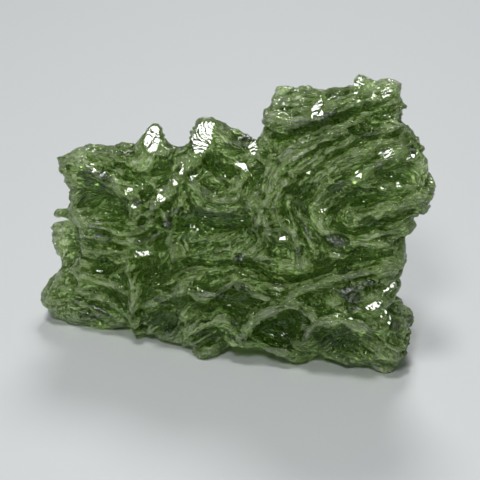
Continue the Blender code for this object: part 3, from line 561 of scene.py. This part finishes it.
def break_facets(thing):
    """Planes each small break flat, facing half way between the camera and the front lamp."""
    where, facing = points_of(thing)
    even = neighbour_mean(thing, where, BREAK_ROUNDS)
    looks = neighbour_mean(thing, facing, BREAK_ROUNDS)
    broken = np.zeros(len(where))
    for x, y, z, half_x, half_z in FACETS:
        centre = np.array([x, y, z])
        to_lamp = (FRONT_LAMP - centre) / np.linalg.norm(FRONT_LAMP - centre)
        to_eye = (EYE - centre) / np.linalg.norm(EYE - centre)
        out = (to_lamp + to_eye) / np.linalg.norm(to_lamp + to_eye)
        step = even - centre
        off = np.hypot(step[:, 0] / half_x, step[:, 2] / half_z)
        near = (off < BREAK_REACH) & (np.abs(step[:, 1]) < BREAK_THICK) & (looks @ to_eye > 0)
        if not near.any():
            continue
        hold = np.clip((BREAK_REACH - off[near]) / BREAK_FADE, 0, 1)
        rise = even[near] @ out
        drop = np.maximum(rise - np.percentile(rise, BREAK_LEVEL), -BREAK_FILL)
        flat = even[near] - drop[:, None] * out
        where[near] += hold[:, None] * (flat - where[near])
        broken[near] = np.maximum(broken[near], hold)
    put_points(thing, where)
    thing.data.attributes.new("broken", "FLOAT", "POINT").data.foreach_set("value", broken)


def shade(thing):
    """Smooth all over, but flat on the fresh breaks."""
    mesh = thing.data
    broken = np.empty(len(mesh.vertices))
    mesh.attributes["broken"].data.foreach_get("value", broken)
    corners = np.empty(len(mesh.loops), np.int64)
    mesh.loops.foreach_get("vertex_index", corners)
    starts = np.empty(len(mesh.polygons), np.int64)
    mesh.polygons.foreach_get("loop_start", starts)
    mesh.polygons.foreach_set("use_smooth", np.minimum.reduceat(broken[corners], starts) < 0.99)
    mesh.update()


def mark_flow(thing, maps):
    """Keeps at each point how far off its nearest flow line is, how far along it that is, and which it is."""
    where, facing = points_of(thing)
    looks = np.abs(facing).argmax(1)
    x, y, z = where.T
    flow = np.zeros((len(where), 3))
    jobs = [
        ("front", (looks == 1) & (facing[:, 1] < 0), x, z),
        ("back", (looks == 1) & (facing[:, 1] >= 0), x, z),
        ("end", looks == 0, end_chart(x, y), z),
        ("top", looks == 2, x, top_chart(y, facing[:, 2])),
    ]
    for name, mine, across, up in jobs:
        near = np.full(mine.sum(), 1e9)
        best = np.zeros((len(near), 3))
        for number, (_, _, path) in enumerate(maps[name].lines):
            away, run, _ = along_path(across[mine], up[mine], path)
            closer = away < near
            near = np.where(closer, away, near)
            found = np.stack([away, run, np.full(away.shape, LINE_SHIFT * number)], 1)
            best = np.where(closer[:, None], found, best)
        flow[mine] = best
    layer = thing.data.attributes.new("flow", "FLOAT_VECTOR", "POINT")
    layer.data.foreach_set("vector", flow.ravel())


def paint_crest_highlight_and_pit_shade(thing, maps):
    """Keeps how pale each point is painted: near 1, a painted highlight, where it stands above the skin round
    it, 0, painted shade, deep in a pit.
    """
    where, facing = points_of(thing)
    near = neighbour_mean(thing, where, FINE_ROUNDS)
    far = neighbour_mean(thing, near, MIDDLING_ROUNDS)
    wide = neighbour_mean(thing, far, BROAD_ROUNDS)
    broad_facing = neighbour_mean(thing, facing, 30)
    proud = FINE_SHARE * ((where - near) * facing).sum(1) / FINE_TALL
    proud += MIDDLING_SHARE * ((near - far) * broad_facing).sum(1) / MIDDLING_TALL
    proud += BROAD_SHARE * ((far - wide) * broad_facing).sum(1) / BROAD_TALL
    broken = np.empty(len(where))
    thing.data.attributes["broken"].data.foreach_get("value", broken)
    # Painted highlight on what stands out and painted shade in pits, with the painted tones added.
    crest = np.clip(0.5 + 0.5 * proud + read_maps(maps, "tone", where, facing), 0, 0.95)
    layer = thing.data.attributes.new("crest", "FLOAT", "POINT")
    layer.data.foreach_set("value", crest + broken * (BREAK_TONE - crest))


def etched_stone():
    """A copy of the solid with the relief and the etching cut into it."""
    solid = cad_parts["moldavite"]
    mesh = solid.data.copy()
    stone = bpy.data.objects.new("etched_stone", mesh)
    bpy.context.scene.collection.objects.link(stone)
    builder = bmesh.new()
    builder.from_mesh(mesh)
    bmesh.ops.scale(builder, vec=(1 / MM,) * 3, verts=builder.verts)
    bmesh.ops.remove_doubles(builder, verts=builder.verts, dist=WELD)
    builder.to_mesh(mesh)
    builder.free()
    bpy.ops.object.select_all(action="DESELECT")
    stone.select_set(True)
    bpy.context.view_layer.objects.active = stone
    remesh(stone, FIRST_GRAIN)
    where, _ = points_of(stone)
    put_points(stone, neighbour_mean(stone, where, 3))
    maps = {
        "front": face_map(FACE_ACROSS, FACE_UP, FRONT_CRESTS, FRONT_FURROWS, seed=11, boldness=2.2,
                          calm=CALM, painted_tones=LIGHT_AND_SHADE_TONES),
        "back": face_map(FACE_ACROSS, FACE_UP, BACK_CRESTS, BACK_FURROWS, seed=23, boldness=1.6),
        "end": face_map(END_ACROSS, FACE_UP, END_LINES, [], seed=37, boldness=1.5),
        "top": face_map(FACE_ACROSS, TOP_UP, TOP_LINES, [], seed=41, boldness=1.5),
    }
    raise_relief(stone, maps, "coarse")
    remesh(stone, GRAIN)
    scoop(stone, maps, seed=5, count=1300, sizes=(0.5, 1.9), depth=0.50)
    scoop(stone, maps, seed=6, count=700, sizes=(0.5, 1.3), depth=0.95, rim_only=True)
    raise_relief(stone, maps, "fine")
    sharpen(stone, share=0.9)
    thin_out(stone, TRIANGLES)
    break_facets(stone)
    mark_flow(stone, maps)
    paint_crest_highlight_and_pit_shade(stone, maps)
    where, _ = points_of(stone)
    low, high = np.array(solid_low) / MM, np.array(solid_high) / MM
    put_points(stone, np.clip(where, low, high))
    stone.data.transform([[MM, 0, 0, 0], [0, MM, 0, 0], [0, 0, MM, 0], [0, 0, 0, 1]])
    shade(stone)
    return stone


# ---- materials --------------------------------------------------------------------------------
IOR = 1.49
TRANSMISSION = 0.80
BODY_COLOUR = (0.80, 0.90, 0.42, 1)     # what the glass lets through
ABSORPTION = 190.0      # per metre
# Colours of the skin, from the deepest pit, darkest as painted shade, to the palest crest, palest as painted
# highlight: (place on the scale, colour).
SKIN_COLOURS_WITH_PAINTED_LIGHT = [
    (0.12, (0.06, 0.13, 0.02, 1)),
    (0.40, (0.44, 0.68, 0.17, 1)),
    (0.62, (0.76, 1.0, 0.45, 1)),
    (0.95, (0.95, 1.0, 0.84, 1)),
]
SCALE_WIDTH = 0.28      # of an etched scale, in millimetres, as are the next four
LINE_WIDTH = 0.18       # of the hair lines along the flow
PIT_WIDTH = 0.20
SWAY_WIDTH = 0.8        # of the waves in the scales' edges
BUMP_DEPTH = 0.03
SWAY = (0.5, 1.2, 0.0)  # how far the waves push the pattern, away from its flow line and along it
SCALE_DRAW, LINE_DRAW = (1.0, 0.28, 1.0), (1.0, 0.16, 1.0)     # under 1 draws the pattern out along the flow
CRACK_REACH = 0.20      # how far from a scale's edge its crack reaches, on the pattern's own scale
# The cracks between scales are painted dark as painted shade; the scales a little paler.
CRACK_PAINTED_SHADE, SCALE_TONE = -0.60, 0.10
WEAR_TONE = 0.18        # how far hair lines and pits shift the tone either way
BREAK_CLEAN = 0.75      # how much of the etching a fresh break loses
FROST_FROM = 0.6        # the tone from which the skin is frosted
CLEAR_ROUGHNESS, FROST_ROUGHNESS = 0.03, 0.25


def linear(colour):
    """An sRGB hex colour as linear red, green, blue and alpha."""
    parts = [int(colour[k:k + 2], 16) / 255 for k in (0, 2, 4)]
    return [p / 12.92 if p <= 0.04045 else ((p + 0.055) / 1.055) ** 2.4 for p in parts] + [1.0]


def add_node(tree, kind, inputs=None, **settings):
    """Adds a node, sets its settings, and sets or links its inputs."""
    node = tree.nodes.new(kind)
    for name, value in settings.items():
        setattr(node, name, value)
    for name, value in (inputs or {}).items():
        if isinstance(value, bpy.types.NodeSocket):
            tree.links.new(value, node.inputs[name])
        else:
            node.inputs[name].default_value = value
    return node


def etched_glass():
    glass = bpy.data.materials.new("etched_moldavite_glass")
    glass.use_nodes = True
    tree = glass.node_tree
    tree.nodes.clear()
    out = add_node(tree, "ShaderNodeOutputMaterial")
    # Acid in the ground etched fine drawn-out scales into the glass; the narrow cracks between them are cut
    # as bumps and painted dark as painted shade.
    flow = add_node(tree, "ShaderNodeAttribute", attribute_name="flow")
    place = add_node(tree, "ShaderNodeTexCoord")
    sway = add_node(tree, "ShaderNodeTexNoise", {
        "Vector": place.outputs["Object"], "Scale": 1 / (SWAY_WIDTH * MM), "Detail": 1.0,
    })
    swing = add_node(tree, "ShaderNodeVectorMath", {0: sway.outputs["Color"], 1: SWAY}, operation="MULTIPLY")
    wavy = add_node(tree, "ShaderNodeVectorMath", {
        0: flow.outputs["Vector"], 1: swing.outputs["Vector"],
    }, operation="ADD")
    drawn = add_node(tree, "ShaderNodeVectorMath", {
        0: wavy.outputs["Vector"], 1: SCALE_DRAW,
    }, operation="MULTIPLY")
    cells = add_node(tree, "ShaderNodeTexVoronoi", {
        "Vector": drawn.outputs["Vector"], "Scale": 1 / SCALE_WIDTH,
    }, feature="DISTANCE_TO_EDGE")
    crack = add_node(tree, "ShaderNodeMapRange", {
        "Value": cells.outputs["Distance"],
        "From Min": 0.0, "From Max": CRACK_REACH, "To Min": CRACK_PAINTED_SHADE, "To Max": SCALE_TONE,
    })
    fine = add_node(tree, "ShaderNodeVectorMath", {
        0: flow.outputs["Vector"], 1: LINE_DRAW,
    }, operation="MULTIPLY")
    lines = add_node(tree, "ShaderNodeTexNoise", {
        "Vector": fine.outputs["Vector"], "Scale": 1 / LINE_WIDTH, "Detail": 0.0,
    })
    pits = add_node(tree, "ShaderNodeTexNoise", {
        "Vector": place.outputs["Object"], "Scale": 1 / (PIT_WIDTH * MM), "Detail": 0.0,
    })
    broken = add_node(tree, "ShaderNodeAttribute", attribute_name="broken")
    etched = add_node(tree, "ShaderNodeMath", {
        0: broken.outputs["Fac"], 1: -BREAK_CLEAN, 2: 1.0,
    }, operation="MULTIPLY_ADD")
    carved = add_node(tree, "ShaderNodeMath", {
        0: crack.outputs["Result"], 1: 1.2, 2: lines.outputs["Fac"],
    }, operation="MULTIPLY_ADD")
    bump = add_node(tree, "ShaderNodeBump", {
        "Height": carved.outputs["Value"], "Distance": BUMP_DEPTH * MM, "Strength": etched.outputs["Value"],
    })
    # Crests are frosted and painted pale as painted highlight; the pits between them stay clear and are
    # painted dark as painted shade.
    crest = add_node(tree, "ShaderNodeAttribute", attribute_name="crest")
    both = add_node(tree, "ShaderNodeMath", {
        0: lines.outputs["Fac"], 1: pits.outputs["Fac"],
    }, operation="ADD")
    wear = add_node(tree, "ShaderNodeMapRange", {
        "Value": both.outputs["Value"],
        "From Min": 0.8, "From Max": 1.2, "To Min": -WEAR_TONE, "To Max": WEAR_TONE,
    })
    marks = add_node(tree, "ShaderNodeMath", {
        0: crack.outputs["Result"], 1: wear.outputs["Result"],
    }, operation="ADD")
    kept = add_node(tree, "ShaderNodeMath", {
        0: marks.outputs["Value"], 1: etched.outputs["Value"],
    }, operation="MULTIPLY")
    # How pale the skin is painted: painted highlight and shade, with crack shade and random wear.
    painted_light_and_wear = add_node(tree, "ShaderNodeMath", {
        0: crest.outputs["Fac"], 1: kept.outputs["Value"],
    }, operation="ADD")
    skin = add_node(tree, "ShaderNodeValToRGB", {"Fac": painted_light_and_wear.outputs["Value"]})
    deepest, *between, palest = SKIN_COLOURS_WITH_PAINTED_LIGHT
    for stop, (position, colour) in zip(skin.color_ramp.elements, (deepest, palest)):
        stop.position = position
        stop.color = colour
    for position, colour in between:
        skin.color_ramp.elements.new(position).color = colour
    frost = add_node(tree, "ShaderNodeMapRange", {
        "Value": painted_light_and_wear.outputs["Value"],
        "From Min": FROST_FROM, "From Max": 1.0, "To Min": CLEAR_ROUGHNESS, "To Max": FROST_ROUGHNESS,
    })
    shader = add_node(tree, "ShaderNodeBsdfPrincipled", {
        "Normal": bump.outputs["Normal"],
        "Base Color": skin.outputs["Color"],
        "Roughness": frost.outputs["Result"],
    })
    shader.inputs["IOR"].default_value = IOR
    shader.inputs["Transmission Weight"].default_value = TRANSMISSION
    inside = add_node(tree, "ShaderNodeVolumeAbsorption")
    inside.inputs["Color"].default_value = BODY_COLOUR
    inside.inputs["Density"].default_value = ABSORPTION
    tree.links.new(shader.outputs["BSDF"], out.inputs["Surface"])
    tree.links.new(inside.outputs["Volume"], out.inputs["Volume"])
    return glass


def plain_material(name, colour, roughness):
    material = bpy.data.materials.new(name)
    material.use_nodes = True
    shader = material.node_tree.nodes["Principled BSDF"]
    shader.inputs["Base Color"].default_value = linear(colour)
    shader.inputs["Roughness"].default_value = roughness
    return material


# ---- the studio, in metres --------------------------------------------------------------------
FLOOR_WIDTH = 3.0
FLOOR_COLOUR, FLOOR_ROUGHNESS = "c9cccd", 0.6
SKY_COLOUR, SKY_STRENGTH = "cfd3d6", 0.25
LAMPS_AIM = (0, 0, 0.009)       # a little below the middle of the stone
# Plain white lamps: (name, width, power in watts, azimuth, elevation, distance).
LAMPS = [
    ("key", 0.10, 0.50, 190, 50, 0.30),
    ("top", 0.06, 0.44, -12, 75, 0.30),
    ("front", 0.05, 0.27, 5, 48, 0.25),
]


def studio_floor():
    bpy.ops.object.select_all(action="DESELECT")
    bpy.ops.mesh.primitive_plane_add(size=FLOOR_WIDTH, location=(0, 0, 0))
    floor = bpy.context.object
    floor.name = "floor"
    floor.data.materials.append(plain_material("pale_floor", FLOOR_COLOUR, FLOOR_ROUGHNESS))


def aim(thing, azimuth, elevation, distance, target):
    """Places a lamp or a camera round the target. Azimuth 0 is in front of the stone."""
    a, e = math.radians(azimuth), math.radians(elevation)
    back = np.array([math.sin(a) * math.cos(e), -math.cos(a) * math.cos(e), math.sin(e)])
    thing.location = np.array(target) + back * distance
    thing.rotation_euler = (math.pi / 2 - e, 0, a)


def soft_lamp(name, wide, power, azimuth, elevation, distance):
    """A plain white lamp, several times as wide as the stone is thick, so that its shadows stay soft."""
    bpy.ops.object.light_add(type="AREA")
    thing = bpy.context.object
    thing.name = name
    thing.data.shape = "DISK"
    thing.data.size = wide
    thing.data.energy = power
    aim(thing, azimuth, elevation, distance, LAMPS_AIM)


stone = etched_stone()
stone.data.materials.clear()
stone.data.materials.append(etched_glass())
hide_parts("moldavite")
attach(stone, "root")

studio_floor()
for lamp in LAMPS:
    soft_lamp(*lamp)
world = bpy.data.worlds.new("studio")
bpy.context.scene.world = world
world.use_nodes = True
world.node_tree.nodes["Background"].inputs["Color"].default_value = linear(SKY_COLOUR)
world.node_tree.nodes["Background"].inputs["Strength"].default_value = SKY_STRENGTH

bpy.ops.object.camera_add()
camera = bpy.context.object
camera.data.lens = 97.5
camera.data.sensor_width = 36
camera.data.clip_start = 0.001
aim(camera, azimuth=17, elevation=27, distance=0.103, target=(1.178 * MM, 0.06 * MM, 9.0 * MM))
bpy.context.scene.camera = camera

settings = bpy.context.scene.cycles
settings.max_bounces = 16
settings.transmission_bounces = 14
settings.caustics_refractive = True
settings.caustics_reflective = False
settings.blur_glossy = 0.3
bpy.context.scene.view_settings.view_transform = "Standard"
bpy.context.scene.view_settings.exposure = -0.3
